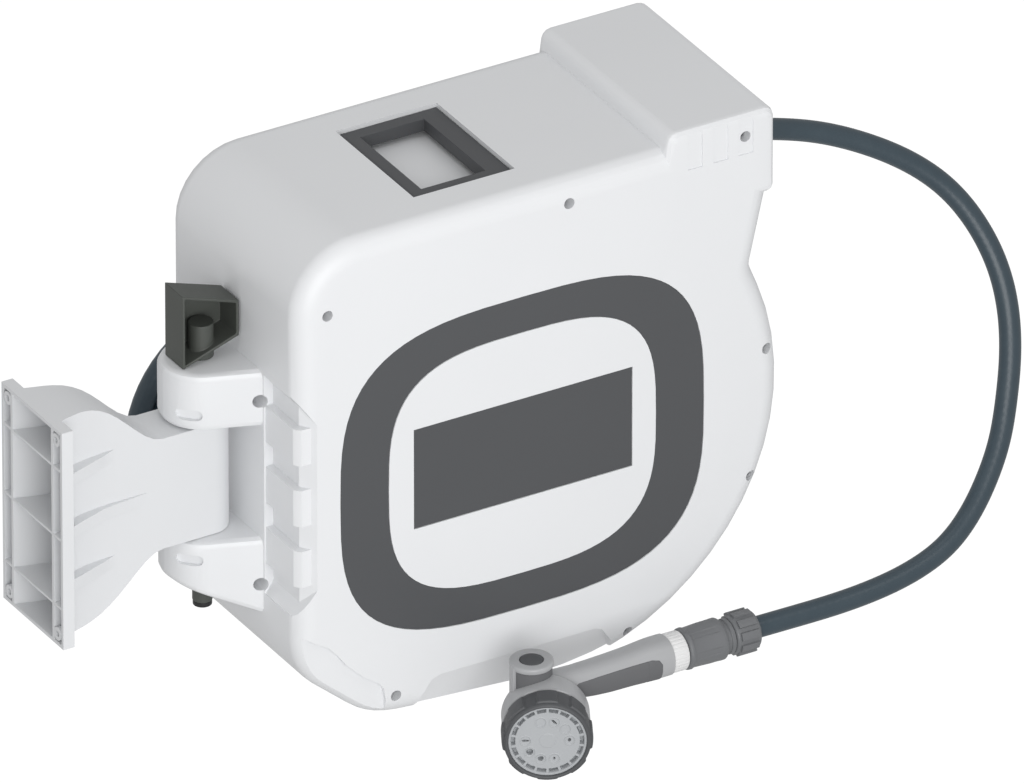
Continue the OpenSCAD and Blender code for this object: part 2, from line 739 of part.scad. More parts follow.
// Drum, its spring and its ratchet

module axle_tube() {
    color("silver") difference() {
        along_y(hub_x, hub_z, -face_y + 5.2, face_y + 1, axle_d / 2);
        along_y(hub_x, hub_z, -face_y + 20, face_y + 2, axle_d / 2 - 4);
    }
}

module drum_core() {
    color("white") difference() {
        union() {
            difference() {
                along_y(hub_x, hub_z, -drum_half, drum_half, core_r);
                along_y(hub_x, hub_z, -drum_half - 1, drum_half + 1, core_r - 3);
            }
            along_y(hub_x, hub_z, 8, 11, core_r - 1);
            along_y(hub_x, hub_z, 8, drum_half, hub_r);
        }
        along_y(hub_x, hub_z, -1, drum_half + 1, axle_d / 2 + 3);
    }
}

// A ribbed disc on the drum's end, at y, with its ribs to the side s
module flange(y, s) {
    y0 = s > 0 ? y : y - flange_t2;
    difference() {
        union() {
            along_y(hub_x, hub_z, y0, y0 + flange_t2, flange_r);
            for (r = [flange_r, core_r + 30])
                difference() {
                    along_y(hub_x, hub_z, s > 0 ? y : y - 6, s > 0 ? y + 6 : y, r);
                    along_y(hub_x, hub_z, y - 8, y + 8, r - 3);
                }
            for (a = [0 : 45 : 315])
                translate([hub_x, 0, hub_z]) rotate([0, a, 0])
                    translate([s > 0 ? hub_r : core_r, s > 0 ? y : y - 6, -1.5])
                        cube([flange_r - 1 - (s > 0 ? hub_r : core_r), 6, 3]);
        }
        along_y(hub_x, hub_z, y - 9, y + 9, s > 0 ? hub_r + fit : ratchet_r - tooth_h - 14);
    }
}
module drum_front_flange() { color("white") flange(-drum_half, -1); }
module drum_rear_flange() { color("white") flange(drum_half, 1); }

module drum_bushes() {
    color("black") for (y = [10.2, drum_half - bush_l]) difference() {
        along_y(hub_x, hub_z, y, y + bush_l, axle_d / 2 + 3 - 0.05);
        along_y(hub_x, hub_z, y - 1, y + bush_l + 1, axle_d / 2 + fit / 2);
    }
}

module hose_pack() {
    color([0.2, 0.27, 0.32]) difference() {
        along_y(hub_x, hub_z, -drum_half + gap, drum_half - gap, pack_r);
        along_y(hub_x, hub_z, -drum_half, drum_half, core_r + 0.05);
    }
}

// The flat spring that winds the hose in, as one spiral strip
spring_in = axle_d / 2 + spring_t / 2 + 0.02;
spring_out = core_r - 4.5;
function spring_at(t, side) =
    let (r = spring_in + (spring_out - spring_in) * t + side * spring_t / 2, a = 360 * spring_turns * t)
    [hub_x + r * cos(a), hub_z + r * sin(a)];
module power_spring() {
    n = spring_turns * 20;
    color("silver") upright(2 - spring_w, 2)
        polygon(concat([for (k = [0 : n]) spring_at(k / n, 1)],
                       [for (k = [n : -1 : 0]) spring_at(k / n, -1)]));
}

module ratchet_wheel() {
    color("dimgray") upright(ratchet_y - ratchet_t, ratchet_y) difference() {
        polygon([for (i = [0 : teeth - 1]) for (k = [0, 1])
            let (a = 360 * i / teeth + (k == 0 ? 0 : 4), r = ratchet_r - (k == 0 ? tooth_h : 0))
            [hub_x + r * cos(a), hub_z + r * sin(a)]]);
        translate(hub) circle(r = ratchet_r - tooth_h - 14);
    }
}

// The pawl hangs on a pin in the front shell and drops into a tooth
pawl_tip = [hub_x + (ratchet_r - tooth_h + 1.2) * cos(-2), hub_z + (ratchet_r - tooth_h + 1.2) * sin(-2)];
module ratchet_pawl() {
    p = [pawl_x, pawl_z];
    color("orange") upright(ratchet_y - ratchet_t, ratchet_y - 0.5) difference() {
        union() {
            translate(p) circle(r = 8);
            polygon([p + [7.6, 2], pawl_tip + [6.5, 0.5], pawl_tip + [2.4, 3], pawl_tip,
                     pawl_tip + [1.2, -12], p + [-7.6, 2]]);
        }
        translate(p) circle(r = pawl_pin_r + fit);
    }
}

// Hoses

module hose_feed() {
    color([0.2, 0.27, 0.32]) along_x(hub_x, outlet_x - 0.4, 0, outlet_z, hose_d / 2);
}

module free_hose() {
    color([0.2, 0.27, 0.32]) tube(free_points, hose_d / 2, hose_sides);
}

// The lead hose runs up from the elbow and bends level with the coil's top
elbow_end = [hub_x - elbow_reach * cos(elbow_angle), hub_z + elbow_reach * sin(elbow_angle)];
lead_rise = coil_top - elbow_end[1] - lead_bend * (1 - cos(elbow_angle));
bend_start = elbow_end + lead_rise * [-1 / tan(elbow_angle), 1];
bend_centre = [bend_start[0] - lead_bend * sin(elbow_angle), coil_top - lead_bend];
lead_points = concat(
    [[elbow_end[0], elbow_y, elbow_end[1]]],
    [for (k = [0 : 6]) let (a = elbow_angle + (90 - elbow_angle) * k / 6)
        [bend_centre[0] + lead_bend * cos(a), elbow_y, bend_centre[1] + lead_bend * sin(a)]],
    [[coil_x + lead_in, elbow_y, coil_top]]);
module lead_hose() {
    color([0.2, 0.27, 0.32]) tube(lead_points, hose_d / 2, hose_sides);
}

// Two turns in, half a turn that climbs to the outer layer, and one turn out again
function coil_radius(a) = a < 720 ? coil_in + coil_pitch * (720 - a) / 360
    : a < 900 ? coil_in : coil_in + coil_pitch * (a - 900) / 360;
function coil_layer(a) = coil_pitch * min(1, max(0, (a - 720) / 180))
    + coil_lift * pow(max(0, (a - coil_span + 90) / 90), 2);
coil_span = 1260;
coil_lift = 11;                   // the end leaves the coil, clear of it for the nut
coil_points = [for (k = [0 : coil_span / 360 * coil_rings]) let (a = 360 * k / coil_rings)
    [coil_x + coil_radius(a) * cos(a + 90), elbow_y + coil_layer(a),
     coil_z + coil_radius(a) * sin(a + 90)]];
coil_end = coil_points[len(coil_points) - 1];
module lead_coil() {
    echo(coil_gap = least_gap(coil_points, coil_rings / 2) - hose_d);
    color([0.2, 0.27, 0.32])
        tube(concat([[coil_x + lead_in - 0.1, elbow_y, coil_top]], coil_points,
                    [coil_end + [tail, 0, 0]]), hose_d / 2, coil_sides);
}

module inlet_elbow() {
    color("dimgray") difference() {
        union() {
            along_y(hub_x, hub_z, face_y + 0.3, elbow_y + 13, axle_d / 2 + 5);
            translate([hub_x, elbow_y, hub_z]) rotate([0, elbow_angle - 90, 0])
                cylinder(h = elbow_reach - 0.3, r = elbow_y - face_y - 0.35);
        }
        along_y(hub_x, hub_z, face_y, face_y + 1.3, axle_d / 2 + fit);
    }
}

module coil_tie() {
    x0 = coil_x + coil_in - hose_d / 2 + 3.6;
    w = coil_pitch + hose_d + 2.6;
    color("black") translate([x0, elbow_y - hose_d / 2 - 0.2, coil_z - 7]) difference() {
        translate([-1.2, -1.2, 0]) cube([w + 2.4, coil_pitch + hose_d + 3, 14]);
        translate([0, 0, -1]) cube([w, coil_pitch + hose_d + 0.6, 16]);
    }
}

lead_end = coil_end + [tail, 0, 0];
module lead_nut() {
    color(dark_grey) grip_nut(lead_end, 1);
}
module tap_connector() {
    x = lead_end[0] + 22.2;
    color(dark_grey) difference() {
        union() {
            along_x(x, x + 14, lead_end[1], lead_end[2], 12);
            along_x(x + 14, x + 34, lead_end[1], lead_end[2], 17);
            for (a = [0 : 30 : 330]) translate([x + 14, lead_end[1], lead_end[2]]) rotate([a, 0, 0])
                translate([0, -2, 0]) cube([18, 4, 18]);
        }
        along_x(x + 20, x + 35, lead_end[1], lead_end[2], 12.1);
    }
}

// A ribbed nut round the hose end at p; s is 1 where it lies beyond the hose, towards +X
module grip_nut(p, s) {
    x0 = s > 0 ? p[0] + 0.1 : p[0] - 22;
    along_x(x0, x0 + 21.9, p[1], p[2], coupling_d / 2 - 1.2);
    for (a = [0 : 36 : 324]) translate([x0 + 3, p[1], p[2]]) rotate([a, 0, 0])
        translate([0, -3.4, 0]) cube([16, 6.8, coupling_d / 2 + 0.8]);
}

// Spray gun on the free hose

gun_end = [nut_x, gun_y, gun_z];
module hose_nut() {
    color(dark_grey) grip_nut(gun_end, -1);
}
module hose_coupling() {
    x1 = nut_x - 22.2;
    color(dark_grey) difference() {
        union() {
            along_x(coupling_x, x1 - 8, gun_y, gun_z, coupling_d / 2);
            along_x(x1 - 9, x1, gun_y, gun_z, coupling_d / 2 - 4);
        }
        along_x(coupling_x - 1, coupling_x + 20, gun_y, gun_z, spigot_d / 2 + fit);
    }
}
module flow_ring() {
    color("white") difference() {
        along_x(ring_x0 + 0.3, coupling_x - 0.3, gun_y, gun_z, coupling_d / 2 - 1);
        along_x(ring_x0 - 1, coupling_x + 1, gun_y, gun_z, spigot_d / 2 + fit);
    }
}

// Oval sections of the gun's handle: [x, half width, half height, lift]
handle_sections = [[valve_x + 8, 11, 10, 4], [378, 11.5, 11, 3], [396, 13, 12.5, 0], [420, 14, 14, -1],
                   [445, 14.6, 15, -0.5], [462, 15.6, 16, 0], [ring_x0, 16, 16, 0]];
function oval_ring(s, grow) = [for (k = [0 : 19]) let (a = 18 * k)
    [s[0], gun_y + (s[1] + grow) * sign(cos(a)) * pow(abs(cos(a)), 0.8),
     gun_z + s[3] + (s[2] + grow) * sign(sin(a)) * pow(abs(sin(a)), 0.8)]];
module gun_handle(grow) {
    loft([for (s = handle_sections) oval_ring(s, grow)]);
}

// Where the soft grip covers the handle: its sides and underside
module grip_zone(grow) {
    upright(gun_y - 30, gun_y + 30)
        polygon([[388 - grow, gun_z - 30], [384 - grow, gun_z + 1], [390 - grow, gun_z + 5 + grow],
                 [460, gun_z + 8 + grow], [467 + grow, gun_z + 4], [467 + grow, gun_z - 30]]);
}

module head_place() {
    translate([head_x, gun_y, head_z]) rotate([0, 90, head_turn]) children();
}

// The bell behind the dial, grown by d: heights and radii
bell_rows = [[2.4, 14], [3.4, 22], [5.4, 28], [8.4, 32], [12, dial_d / 2 - 1], [31.8, dial_d / 2 - 1]];
module bell(d) {
    for (i = [0 : len(bell_rows) - 2])
        translate([0, 0, bell_rows[i][0] - d])
            cylinder(h = bell_rows[i + 1][0] - bell_rows[i][0], r1 = bell_rows[i][1] + d,
                     r2 = bell_rows[i + 1][1] + d);
}

module gun_body() {
    color("silver") {
        difference() {
            union() {
                difference() {
                    gun_handle(0);
                    grip_zone(0.2);
                }
                gun_handle(-2.6);
                along_x(ring_x0 - 20, coupling_x + 18, gun_y, gun_z, spigot_d / 2);
                translate([valve_x, gun_y, valve_top - 66]) cylinder(h = 62, r = valve_d / 2 - 4);
                translate([valve_x, gun_y, valve_top - 5]) cylinder(h = 5, r = valve_d / 2);
                translate([valve_x, gun_y, valve_top - 70]) cylinder(h = 5, r = valve_d / 2 - 1);
                translate([valve_x - valve_d / 2 - 0.5, gun_y - 3, valve_top - 69]) cube([6, 6, 68]);
                head_place() {
                    cylinder(h = 12, r = 14);
                    bell(0);
                    cylinder(h = 42, r = spindle_d / 2);
                }
            }
            translate([valve_x, gun_y, valve_top - 13]) cylinder(h = 14, r = 9.5 + fit);
        }
    }
}

module gun_grip() {
    color(dark_grey) difference() {
        intersection() {
            gun_handle(0.4);
            grip_zone(0);
        }
        gun_handle(-2.5);
    }
}

module valve_sleeve() {
    color(dark_grey) difference() {
        translate([valve_x, gun_y, valve_top - 64.8]) cylinder(h = 59.6, r = valve_d / 2 - 1.2);
        translate([valve_x, gun_y, valve_top - 70]) cylinder(h = 80, r = valve_d / 2 - 3.9);
        translate([valve_x - valve_d, gun_y - 3.3, valve_top - 70]) cube([valve_d, 6.6, 80]);
        gun_handle(0.4);
        head_place() {
            translate([0, 0, -1]) cylinder(h = 14, r = 14.3);
            bell(0.3);
        }
    }
}

module thumb_button() {
    color(dark_grey) translate([valve_x, gun_y, valve_top - 7]) cylinder(h = 7.3, r = 9.5);
}

module dial_ring() {
    color(dark_grey) head_place() difference() {
        union() {
            translate([0, 0, 32.1]) cylinder(h = 23.2, r = dial_d / 2 - 1);
            for (a = [0 : 45 : 315]) rotate([0, 0, a])
                translate([dial_d / 2 - 4, -8, 35.5]) cube([4.2, 16, 16.5]);
        }
        translate([0, 0, 36]) cylinder(h = 30, r = face_d / 2 + 0.1);
        translate([0, 0, 30]) cylinder(h = 20, r = spindle_d / 2 + fit);
    }
}

module spray_face() {
    color("lightgray") head_place() translate([0, 0, 45]) difference() {
        cylinder(h = 8, r = face_d / 2 + 0.05);
        translate([0, 0, 7]) cylinder(h = 2, r = face_d / 2 - 1.5);
        for (a = [18, 90, 126, 162, 198, 270, 306, 342]) rotate([0, 0, a])
            translate([17, 0, 5.6]) cylinder(h = 4, r = 4.2);
        for (a = [10 : 20 : 350]) rotate([0, 0, a]) translate([24.8, -3.2, 4]) cube([3, 6.4, 5]);
    }
}

wall_bracket();
front_shell();
rear_shell();
casing_screws();
lug_screws();
cover_ring();
cover_panel();
pivot_pin();
pin_end_cap();
carry_handle();
outlet_frame();
guide_roller_top();
guide_roller_bottom();
guide_roller_front();
guide_roller_back();
axle_tube();
drum_core();
drum_front_flange();
drum_rear_flange();
drum_bushes();
hose_pack();
power_spring();
ratchet_wheel();
ratchet_pawl();
hose_feed();
free_hose();
hose_nut();
hose_coupling();
flow_ring();
gun_body();
gun_grip();
valve_sleeve();
thumb_button();
dial_ring();
spray_face();
inlet_elbow();
lead_hose();
lead_coil();
lead_nut();
tap_connector();
coil_tie();
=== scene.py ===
import json
import math

import bmesh
import bpy
import numpy as np
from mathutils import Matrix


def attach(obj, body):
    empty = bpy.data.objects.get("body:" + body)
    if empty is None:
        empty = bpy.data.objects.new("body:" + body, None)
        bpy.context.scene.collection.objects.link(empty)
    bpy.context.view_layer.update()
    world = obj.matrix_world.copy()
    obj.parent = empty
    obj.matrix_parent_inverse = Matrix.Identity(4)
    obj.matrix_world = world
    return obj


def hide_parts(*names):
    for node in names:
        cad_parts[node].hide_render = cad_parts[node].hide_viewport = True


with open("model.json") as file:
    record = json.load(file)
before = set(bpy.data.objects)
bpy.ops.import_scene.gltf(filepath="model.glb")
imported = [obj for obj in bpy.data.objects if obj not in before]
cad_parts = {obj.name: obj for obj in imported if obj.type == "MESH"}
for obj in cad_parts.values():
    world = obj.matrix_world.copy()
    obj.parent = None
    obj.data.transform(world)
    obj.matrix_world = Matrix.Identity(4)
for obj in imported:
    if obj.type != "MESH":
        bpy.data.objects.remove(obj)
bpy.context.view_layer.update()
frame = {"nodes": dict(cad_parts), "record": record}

# Camera and studio. The photograph is a studio view from far off, from the front left and 30 degrees
# above, so the camera stands well back with a very long lens. A broad soft light stands in front, a
# weak one hangs above and a small one lifts the hose. The reel hangs free over a pale floor.
PHOTO_SPAN = 0.7877  # width of the picture at the reel
CENTRE_ACROSS, CENTRE_UP = 0.3689, 0.0958  # what the camera aims at, in the picture's own directions
AZIMUTH, ELEVATION = math.radians(30.3), math.radians(29.8)
view_right = np.array([math.cos(AZIMUTH), -math.sin(AZIMUTH), 0.0])
view_back = np.array([-math.sin(AZIMUTH) * math.cos(ELEVATION),
                      -math.cos(AZIMUTH) * math.cos(ELEVATION), math.sin(ELEVATION)])
view_up = np.cross(view_back, view_right)
view_centre = CENTRE_ACROSS * view_right + CENTRE_UP * view_up
CAMERA_DISTANCE = 24.0

lens = bpy.data.cameras.new("studio_camera")
lens.sensor_width = 36.0
lens.lens = lens.sensor_width * CAMERA_DISTANCE / PHOTO_SPAN
lens.clip_start, lens.clip_end = 1.0, 200.0
camera = bpy.data.objects.new("studio_camera", lens)
camera.location = view_centre + CAMERA_DISTANCE * view_back
camera.rotation_euler = (math.pi / 2 - ELEVATION, 0.0, -AZIMUTH)
bpy.context.scene.collection.objects.link(camera)
bpy.context.scene.camera = camera

FLOOR_Z, FLOOR_HALF = -0.30, 8.0
WORLD_STRENGTH = 0.55


def soft_light(name, place, aim, size, watts, tint=(1.0, 1.0, 1.0)):
    """A square area light at place that points at aim."""
    data = bpy.data.lights.new(name, "AREA")
    data.shape, data.size, data.energy, data.color = "SQUARE", size, watts, tint
    lamp = bpy.data.objects.new(name, data)
    way = np.array(place) - np.array(aim)
    way = way / np.linalg.norm(way)
    flat = math.hypot(way[0], way[1])
    lamp.location = place
    lamp.rotation_euler = (math.atan2(flat, way[2]), 0.0, math.atan2(way[0], -way[1]))
    bpy.context.scene.collection.objects.link(lamp)


soft_light("front_light", (-0.5, -2.4, 0.55), (0.35, 0.0, 0.0), 2.0, 43.0)
soft_light("top_light", (0.3, 0.3, 2.6), (0.35, 0.0, 0.0), 1.5, 4.0)
soft_light("hose_light", (1.2, -1.4, 2.0), (0.6, 0.0, 0.0), 0.7, 3.0)

world = bpy.data.worlds.new("studio_world")
world.use_nodes = True
world.node_tree.nodes["Background"].inputs["Color"].default_value = (1.0, 1.0, 1.0, 1.0)
world.node_tree.nodes["Background"].inputs["Strength"].default_value = WORLD_STRENGTH
bpy.context.scene.world = world
bpy.context.scene.view_settings.view_transform = "Standard"


def grid_faces(rows, columns, closed):
    """Quads of a grid of points, rows by columns, the last column joined to the first if closed."""
    span = columns if closed else columns - 1
    i, j = np.meshgrid(np.arange(rows - 1), np.arange(span), indexing="ij")
    k = (j + 1) % columns
    quads = np.stack([i * columns + j, i * columns + k, (i + 1) * columns + k, (i + 1) * columns + j], -1)
    return quads.reshape(-1, 4)


def surface(name, points, faces, smooth=True):
    """A mesh object at the origin from arrays of points and faces."""
    mesh = bpy.data.meshes.new(name)
    mesh.from_pydata(np.asarray(points).reshape(-1, 3).tolist(), [], [tuple(f) for f in faces])
    mesh.polygons.foreach_set("use_smooth", [smooth] * len(mesh.polygons))
    mesh.update()
    piece = bpy.data.objects.new(name, mesh)
    bpy.context.scene.collection.objects.link(piece)
    return piece


floor_plan = [(-1, -1), (1, -1), (1, 1), (-1, 1)]
floor = surface("studio_floor", [(x * FLOOR_HALF, y * FLOOR_HALF, FLOOR_Z) for x, y in floor_plan],
                [(0, 1, 2, 3)], False)
paper = bpy.data.materials.new("studio_paper")
paper.use_nodes = True
paper_shader = paper.node_tree.nodes["Principled BSDF"]
paper_shader.inputs["Base Color"].default_value = (0.05, 0.05, 0.05, 1.0)
paper_shader.inputs["Roughness"].default_value = 1.0
paper_shader.inputs["Emission Color"].default_value = (1.0, 1.0, 1.0, 1.0)
paper_shader.inputs["Emission Strength"].default_value = 1.0
floor.data.materials.append(paper)
floor.visible_diffuse = floor.visible_glossy = False


# Free hose. About 0.7 m of half-inch garden hose, dark blue-grey and satin, hangs in one loop from the
# outlet to the spray gun. It is extruded plastic over a braid that shows faintly as fine ribs.
HOSE_D = 0.0175
HOSE_SIDES, HOSE_RINGS = 40, 181
BRAID_ANGLE, BRAID_SCALE, BRAID_DEPTH = math.radians(50), 60.0, 0.00003
FREE_ROUTE = np.array([
    [605, 0, 163.15], [619, 0, 162.85], [637, 0, 160.5], [658, -1, 155.6], [699, -4, 142.6], [740, -12, 124],
    [774, -22, 102.6], [800.5, -34, 77.5], [819, -50, 46], [828, -66, 13], [828.5, -80, -19],
    [822.5, -93, -48], [811.5, -106, -79], [798, -118, -106.5], [781, -128, -130], [760, -137, -151.5],
    [735.5, -144, -168], [705, -148, -179], [670, -150, -185], [633, -150, -188], [595, -150, -188.3],
    [556, -150, -188]]) / 1000.0


def smooth_route(points, count):
    """A cubic spline through the points, by length along their chords. Its slopes solve the usual
    equations of equal curvature at each point, and its ends keep the first and last chords' direction."""
    chord = np.linalg.norm(np.diff(points, axis=0), axis=1)
    at = np.concatenate([[0.0], np.cumsum(chord)])
    n = len(points)
    left = np.zeros((n, n))
    right = np.zeros((n, 3))
    left[0, 0] = left[-1, -1] = 1.0
    right[0] = (points[1] - points[0]) / chord[0]
    right[-1] = (points[-1] - points[-2]) / chord[-1]
    k = np.arange(1, n - 1)
    left[k, k - 1], left[k, k], left[k, k + 1] = chord[1:], 2 * (chord[:-1] + chord[1:]), chord[:-1]
    steps = np.diff(points, axis=0) / chord[:, None]
    right[1:-1] = 3 * (chord[1:, None] * steps[:-1] + chord[:-1, None] * steps[1:])
    slope = np.linalg.solve(left, right)
    where = np.linspace(0.0, at[-1], count)
    seg = np.clip(np.searchsorted(at, where, side="right") - 1, 0, n - 2)
    h = chord[seg][:, None]
    t = ((where - at[seg]) / chord[seg])[:, None]
    return ((2 * t**3 - 3 * t**2 + 1) * points[seg] + (t**3 - 2 * t**2 + t) * h * slope[seg]
            + (3 * t**2 - 2 * t**3) * points[seg + 1] + (t**3 - t**2) * h * slope[seg + 1])


def capped_tube(rows, sides):
    """Faces of a grid of rings, rows by sides, with a flat cap on the first and the last ring."""
    caps = [tuple(range(sides - 1, -1, -1)), tuple((rows - 1) * sides + np.arange(sides))]
    return [tuple(f) for f in grid_faces(rows, sides, True)] + caps


def hose_tube(name, route, diameter, sides):
    """A round tube along a route that never runs along Y. Each ring lies across the route, from the
    cross product of its direction with Y, and both ends are closed by a flat fan. UV u goes round the
    tube and v along it, both in metres."""
    way = np.gradient(route, axis=0)
    way[0], way[-1] = route[1] - route[0], route[-1] - route[-2]
    way /= np.linalg.norm(way, axis=1)[:, None]
    side = np.cross(way, [0.0, 1.0, 0.0])
    side /= np.linalg.norm(side, axis=1)[:, None]
    lift = np.cross(way, side)
    turn = np.linspace(0.0, 2 * np.pi, sides, endpoint=False)
    rings = (route[:, None, :] + diameter / 2 * (np.cos(turn)[None, :, None] * side[:, None, :]
                                                 + np.sin(turn)[None, :, None] * lift[:, None, :]))
    rows = len(route)
    tube = surface(name, rings, capped_tube(rows, sides))
    along = np.concatenate([[0.0], np.cumsum(np.linalg.norm(np.diff(route, axis=0), axis=1))])
    loops = np.empty(len(tube.data.loops), dtype=np.int64)
    tube.data.loops.foreach_get("vertex_index", loops)
    spread = np.empty((len(loops), 2))
    spread[:, 0] = turn[loops % sides] * diameter / 2
    quad = np.arange(len(loops)) < 4 * (rows - 1) * sides
    corner = np.arange(len(loops)) % 4
    wrapped = quad & (loops % sides == 0) & ((corner == 1) | (corner == 2))
    spread[wrapped, 0] = np.pi * diameter
    spread[:, 1] = along[loops // sides]
    uv = tube.data.uv_layers.new(name="wrap")
    uv.data.foreach_set("uv", spread.ravel())
    return tube


def material(name, color, roughness):
    """A Principled material with its nodes, for the finishes below to add to."""
    made = bpy.data.materials.new(name)
    made.use_nodes = True
    shader = made.node_tree.nodes["Principled BSDF"]
    shader.inputs["Base Color"].default_value = (*color, 1.0)
    shader.inputs["Roughness"].default_value = roughness
    return made, made.node_tree.nodes, made.node_tree.links, shader


def varied(nodes, links, shader, color, other, scale, roughness, spread, coordinates):
    """Base colour between two tones and roughness within a spread, both by one soft noise."""
    noise = nodes.new("ShaderNodeTexNoise")
    noise.inputs["Scale"].default_value = scale
    noise.inputs["Detail"].default_value = 4.0
    links.new(coordinates, noise.inputs["Vector"])
    mix = nodes.new("ShaderNodeMix")
    mix.data_type = "RGBA"
    mix.inputs[6].default_value = (*color, 1.0)
    mix.inputs[7].default_value = (*other, 1.0)
    links.new(noise.outputs["Fac"], mix.inputs[0])
    links.new(mix.outputs[2], shader.inputs["Base Color"])
    rough = nodes.new("ShaderNodeMapRange")
    rough.inputs["To Min"].default_value = roughness - spread
    rough.inputs["To Max"].default_value = roughness + spread
    links.new(noise.outputs["Fac"], rough.inputs["Value"])
    links.new(rough.outputs["Result"], shader.inputs["Roughness"])
    return noise


def bumped(nodes, links, shader, height, depth):
    """A height in metres turned into the shader's normal."""
    bump = nodes.new("ShaderNodeBump")
    bump.inputs["Distance"].default_value = depth
    bump.inputs["Strength"].default_value = 1.0
    links.new(height, bump.inputs["Height"])
    links.new(bump.outputs["Normal"], shader.inputs["Normal"])


def hose_finish():
    """Satin blue-grey plastic over a braid: two sets of faint diagonal ribs from the tube's own UVs."""
    made, nodes, links, shader = material("hose_skin", (0.045, 0.07, 0.088), 0.34)
    uv = nodes.new("ShaderNodeUVMap")
    uv.uv_map = "wrap"
    varied(nodes, links, shader, (0.030, 0.050, 0.066), (0.042, 0.065, 0.082), 60.0, 0.36, 0.07,
           uv.outputs["UV"])
    heights = []
    for slant in (1, -1):
        turned = nodes.new("ShaderNodeMapping")
        turned.inputs["Rotation"].default_value = (0.0, 0.0, slant * BRAID_ANGLE)
        links.new(uv.outputs["UV"], turned.inputs["Vector"])
        wave = nodes.new("ShaderNodeTexWave")
        wave.inputs["Scale"].default_value = BRAID_SCALE
        links.new(turned.outputs["Vector"], wave.inputs["Vector"])
        heights.append(wave.outputs["Fac"])
    both = nodes.new("ShaderNodeMath")
    both.operation = "ADD"
    links.new(heights[0], both.inputs[0])
    links.new(heights[1], both.inputs[1])
    bumped(nodes, links, shader, both.outputs["Value"], BRAID_DEPTH)
    shader.inputs["Specular IOR Level"].default_value = 0.6
    return made


hose_skin = hose_finish()
free_path = smooth_route(FREE_ROUTE, HOSE_RINGS)
free_hose = hose_tube("free_hose_visual", free_path, HOSE_D, HOSE_SIDES)
free_hose.data.materials.append(hose_skin)
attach(free_hose, "casing")
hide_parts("free_hose")


# Lead hose. Nearly 2 m of the same hose joins the inlet behind the casing to the tap. It is stored as
# a round coil on the peg of the rear shell, in two layers, with a tie round its turns.
INLET = np.array([0.396, 0.1105, -0.002])
ELBOW_REACH, ELBOW_ANGLE = 0.030, math.radians(45)
COIL = np.array([0.2505, 0.1105, -0.040])
COIL_IN, COIL_PITCH, COIL_LIFT, LEAD_BEND, COIL_TAIL = 0.064, 0.0185, 0.011, 0.070, 0.022
COIL_TURNS, TURNS_IN, TURNS_CLIMB, TURNS_LIFT = 3.5, 2, 0.5, 0.25
LEAD_SIDES = 24


def lead_route():
    """Up from the elbow at 45 degrees, round an arc to level, and into the coil: two turns in, half a
    turn that climbs one pitch outwards and one turn out again, which lifts at its end."""
    end = INLET + ELBOW_REACH * np.array([-math.cos(ELBOW_ANGLE), 0.0, math.sin(ELBOW_ANGLE)])
    top = COIL[2] + COIL_IN + TURNS_IN * COIL_PITCH
    rise = top - end[2] - LEAD_BEND * (1 - math.cos(ELBOW_ANGLE))
    bend = end + rise * np.array([-1 / math.tan(ELBOW_ANGLE), 0.0, 1.0])
    centre = np.array([bend[0] - LEAD_BEND * math.sin(ELBOW_ANGLE), end[1], top - LEAD_BEND])
    straight = np.linspace(end, bend, 6, endpoint=False)
    a = np.linspace(ELBOW_ANGLE, math.pi / 2, 13)
    arc = centre + LEAD_BEND * np.stack([np.cos(a), 0 * a, np.sin(a)], -1)
    level = np.linspace(arc[-1], [COIL[0], end[1], top], 10)[1:-1]
    t = np.linspace(0.0, COIL_TURNS, int(COIL_TURNS * 60) + 1)
    layers = np.where(t < TURNS_IN, TURNS_IN - t, np.maximum(0, t - TURNS_IN - TURNS_CLIMB))
    radius = COIL_IN + COIL_PITCH * layers
    out = COIL_PITCH * np.clip((t - TURNS_IN) / TURNS_CLIMB, 0, 1)
    out += COIL_LIFT * np.maximum(0, (t - COIL_TURNS + TURNS_LIFT) / TURNS_LIFT) ** 2
    turn = 2 * np.pi * t + np.pi / 2
    coil = COIL + np.stack([radius * np.cos(turn), out, radius * np.sin(turn)], -1)
    tail = coil[-1] + np.linspace(0, COIL_TAIL, 5)[1:, None] * np.array([1.0, 0.0, 0.0])
    return np.concatenate([straight, arc, level, coil, tail])


lead_path = lead_route()
lead_hose = hose_tube("lead_hose_visual", lead_path, HOSE_D, LEAD_SIDES)
lead_hose.data.materials.append(hose_skin)
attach(lead_hose, "casing")
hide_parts("lead_hose", "lead_coil")


# Wall bracket. One injection moulding in light grey glass-filled plastic: plate, ribs, flared arm and
# pin barrel. Its surface is finely grained, and every edge has the small radius of the mould.
def flat_inner_edges(shape):
    """The edges inside flat regions without a hole, found by growing each region over its neighbours: a
    region of faces has no hole where its points less its edges plus its faces make one."""
    shape.faces.ensure_lookup_table()
    seen, inner = set(), []
    for start in shape.faces:
        if start in seen:
            continue
        region, waiting, edges = {start}, [start], []
        seen.add(start)
        while waiting:
            for edge in waiting.pop().edges:
                if len(edge.link_faces) != 2 or edge.calc_face_angle(1.0) > 0.006:
                    continue
                edges.append(edge)
                for face in edge.link_faces:
                    if face not in seen and face.normal.dot(start.normal) > 0.9999:
                        seen.add(face)
                        region.add(face)
                        waiting.append(face)
        points = {v for face in region for v in face.verts}
        sides = {e for face in region for e in face.edges}
        if len(points) - len(sides) + len(region) == 1:
            inner += {e for e in edges if all(face in region for face in e.link_faces)}
    return inner


